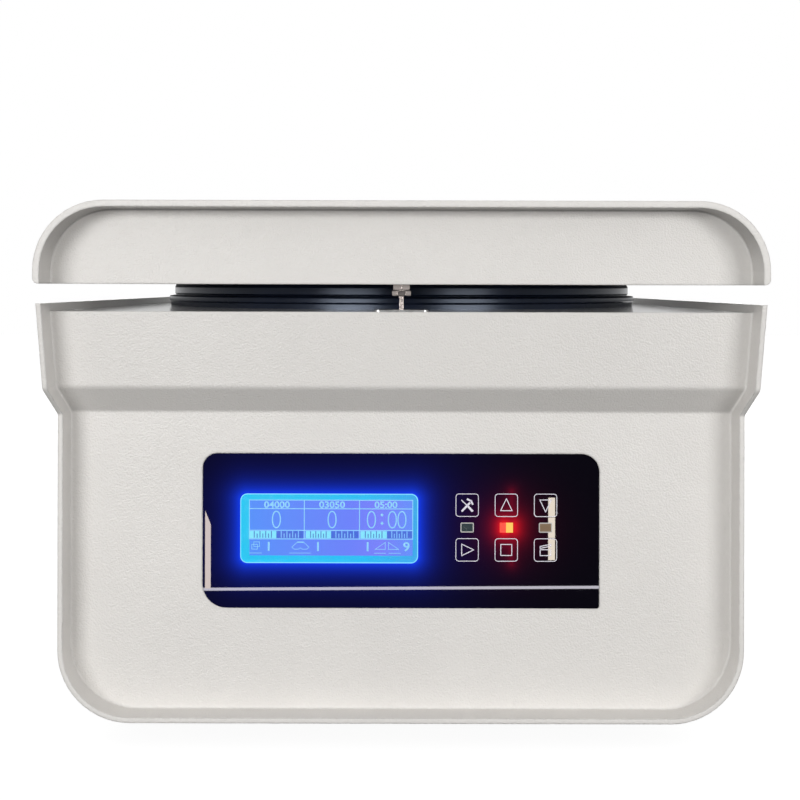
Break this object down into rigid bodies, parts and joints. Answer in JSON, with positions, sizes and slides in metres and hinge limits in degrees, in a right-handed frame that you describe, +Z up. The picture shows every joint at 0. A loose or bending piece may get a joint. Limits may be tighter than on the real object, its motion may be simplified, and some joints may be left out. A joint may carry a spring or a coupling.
{
  "type": "benchtop centrifuge",
  "caption": "Benchtop centrifuge with a hinged lid over a gasketed chamber, a swing-out rotor with buckets, and a glossy control panel with display and keys.",
  "frame": {"origin": "middle of the bounding box in plan, on the surface the feet stand on", "axes": "+Z up, the control panel faces -Y, the lid's hinge runs along X at the back"},
  "size_m": [0.44, 0.5497, 0.3293],
  "materials": {
    "housing_white": "fine orange-peel texture, satin",
    "deck_grey": "satin powder coat",
    "liner_white": "satin powder coat",
    "rear_grey": "satin powder coat",
    "galvanised": "zinc plated sheet",
    "stainless": "fine brushed",
    "armour_steel": "black oxide rolled steel",
    "zinc_screw": "bright zinc",
    "bright_steel": "turned, bright",
    "gasket_rubber": "glossy black",
    "boot_rubber": "matte",
    "foot_rubber": "matte",
    "motor_aluminium": "die cast",
    "stator_steel": "laminated",
    "copper": "varnished wire",
    "bearing_steel": "ground",
    "rotor_aluminium": "anodised satin",
    "bucket_aluminium": "anodised satin",
    "magnet_core": "ground",
    "heatsink_black": "black anodised",
    "board_green": "solder mask",
    "panel_black": "glossy",
    "display_pane": "clear",
    "lcd_body": "backlit display",
    "key_black": "glossy",
    "lens_smoke": "translucent",
    "switch_body": "moulded",
    "rocker_black": "moulded",
    "solenoid_coil": "zinc plated",
    "pin_brass": "nickel plated",
    "fan_black": "moulded"
  },
  "bodies": {
    "cabinet": {"cabinet_shell": "housing_white", "deck_plate": "deck_grey", "rear_panel": "rear_grey", "base_tray": "galvanised", "latch_bracket": "galvanised", "motor_mount_plate": "galvanised", "chamber_bowl": "stainless", "latch_slot_plate": "stainless", "armour_ring": "armour_steel", "cabinet_screws": "zinc_screw", "chamber_floor": "stainless", "hinge_brackets": "stainless", "hinge_pins": "bright_steel", "chamber_gasket": "gasket_rubber", "shaft_boot": "boot_rubber", "rubber_dampers": "boot_rubber", "rubber_feet": "foot_rubber", "motor_housing": "motor_aluminium", "motor_end_caps": "motor_aluminium", "motor_stator": "stator_steel", "stator_windings": "copper", "shaft_bearings": "bearing_steel", "drive_heatsink": "heatsink_black", "drive_board": "board_green", "control_board": "board_green", "control_panel": "panel_black", "display_window": "display_pane", "lcd_module": "lcd_body", "indicator_lenses": "lens_smoke", "key_switches": "switch_body", "power_inlet": "switch_body", "switch_frame": "switch_body", "fuse_holder": "switch_body", "lid_switch": "switch_body", "inlet_pins": "pin_brass", "latch_solenoid": "solenoid_coil", "fan_frame": "fan_black"},
    "lid": {"lid_shell": "housing_white", "lid_liner": "liner_white", "liner_screws": "zinc_screw", "striker": "bright_steel", "striker_nuts": "bright_steel", "hinge_leaves": "stainless"},
    "rotor": {"rotor_shaft": "bearing_steel", "motor_core": "magnet_core", "rotor_head": "rotor_aluminium", "rotor_nut": "rotor_aluminium"},
    "bucket_1": {"bucket_1": "bucket_aluminium"},
    "bucket_2": {"bucket_2": "bucket_aluminium"},
    "bucket_3": {"bucket_3": "bucket_aluminium"},
    "bucket_4": {"bucket_4": "bucket_aluminium"},
    "key_set": {"key_set": "key_black"},
    "key_up": {"key_up": "key_black"},
    "key_down": {"key_down": "key_black"},
    "key_start": {"key_start": "key_black"},
    "key_stop": {"key_stop": "key_black"},
    "key_open": {"key_open": "key_black"},
    "power_rocker": {"power_rocker": "rocker_black"},
    "fan_rotor": {"fan_rotor": "fan_black"},
    "latch_bolt": {"latch_bolt": "bright_steel"}
  },
  "joints": [
    {"name": "lid_hinge", "type": "hinge", "parent": "cabinet", "child": "lid", "pos_m": [0, 0.2685, 0.2722], "axis": [-1, 0, 0], "range_deg": [0, 78]},
    {"name": "rotor_spin", "type": "hinge", "parent": "cabinet", "child": "rotor", "pos_m": [0, 0.013, 0.226], "axis": [0, 0, 1], "continuous": true},
    {"name": "bucket_1_swing", "type": "hinge", "parent": "rotor", "child": "bucket_1", "pos_m": [0.0905, 0.013, 0.226], "axis": [0, -1, 0], "range_deg": [0, 90]},
    {"name": "bucket_2_swing", "type": "hinge", "parent": "rotor", "child": "bucket_2", "pos_m": [0, 0.1035, 0.226], "axis": [1, 0, 0], "range_deg": [0, 90]},
    {"name": "bucket_3_swing", "type": "hinge", "parent": "rotor", "child": "bucket_3", "pos_m": [-0.0905, 0.013, 0.226], "axis": [0, 1, 0], "range_deg": [0, 90]},
    {"name": "bucket_4_swing", "type": "hinge", "parent": "rotor", "child": "bucket_4", "pos_m": [0, -0.0775, 0.226], "axis": [-1, 0, 0], "range_deg": [0, 90]},
    {"name": "latch_slide", "type": "slide", "parent": "cabinet", "child": "latch_bolt", "axis": [-1, 0, 0], "range_m": [0, 0.012]},
    {"name": "key_set_press", "type": "slide", "parent": "cabinet", "child": "key_set", "axis": [0, 1, 0], "range_m": [0, 0.0005], "stiffness_N_per_m": 800},
    {"name": "key_up_press", "type": "slide", "parent": "cabinet", "child": "key_up", "axis": [0, 1, 0], "range_m": [0, 0.0005], "stiffness_N_per_m": 800},
    {"name": "key_down_press", "type": "slide", "parent": "cabinet", "child": "key_down", "axis": [0, 1, 0], "range_m": [0, 0.0005], "stiffness_N_per_m": 800},
    {"name": "key_start_press", "type": "slide", "parent": "cabinet", "child": "key_start", "axis": [0, 1, 0], "range_m": [0, 0.0005], "stiffness_N_per_m": 800},
    {"name": "key_stop_press", "type": "slide", "parent": "cabinet", "child": "key_stop", "axis": [0, 1, 0], "range_m": [0, 0.0005], "stiffness_N_per_m": 800},
    {"name": "key_open_press", "type": "slide", "parent": "cabinet", "child": "key_open", "axis": [0, 1, 0], "range_m": [0, 0.0005], "stiffness_N_per_m": 800},
    {"name": "power_rocker_tilt", "type": "hinge", "parent": "cabinet", "child": "power_rocker", "pos_m": [-0.072, 0.262, 0.062], "axis": [-1, 0, 0], "range_deg": [0, 16]},
    {"name": "fan_spin", "type": "hinge", "parent": "cabinet", "child": "fan_rotor", "pos_m": [0.11, 0.25, 0.095], "axis": [0, 1, 0], "continuous": true}
  ]
}
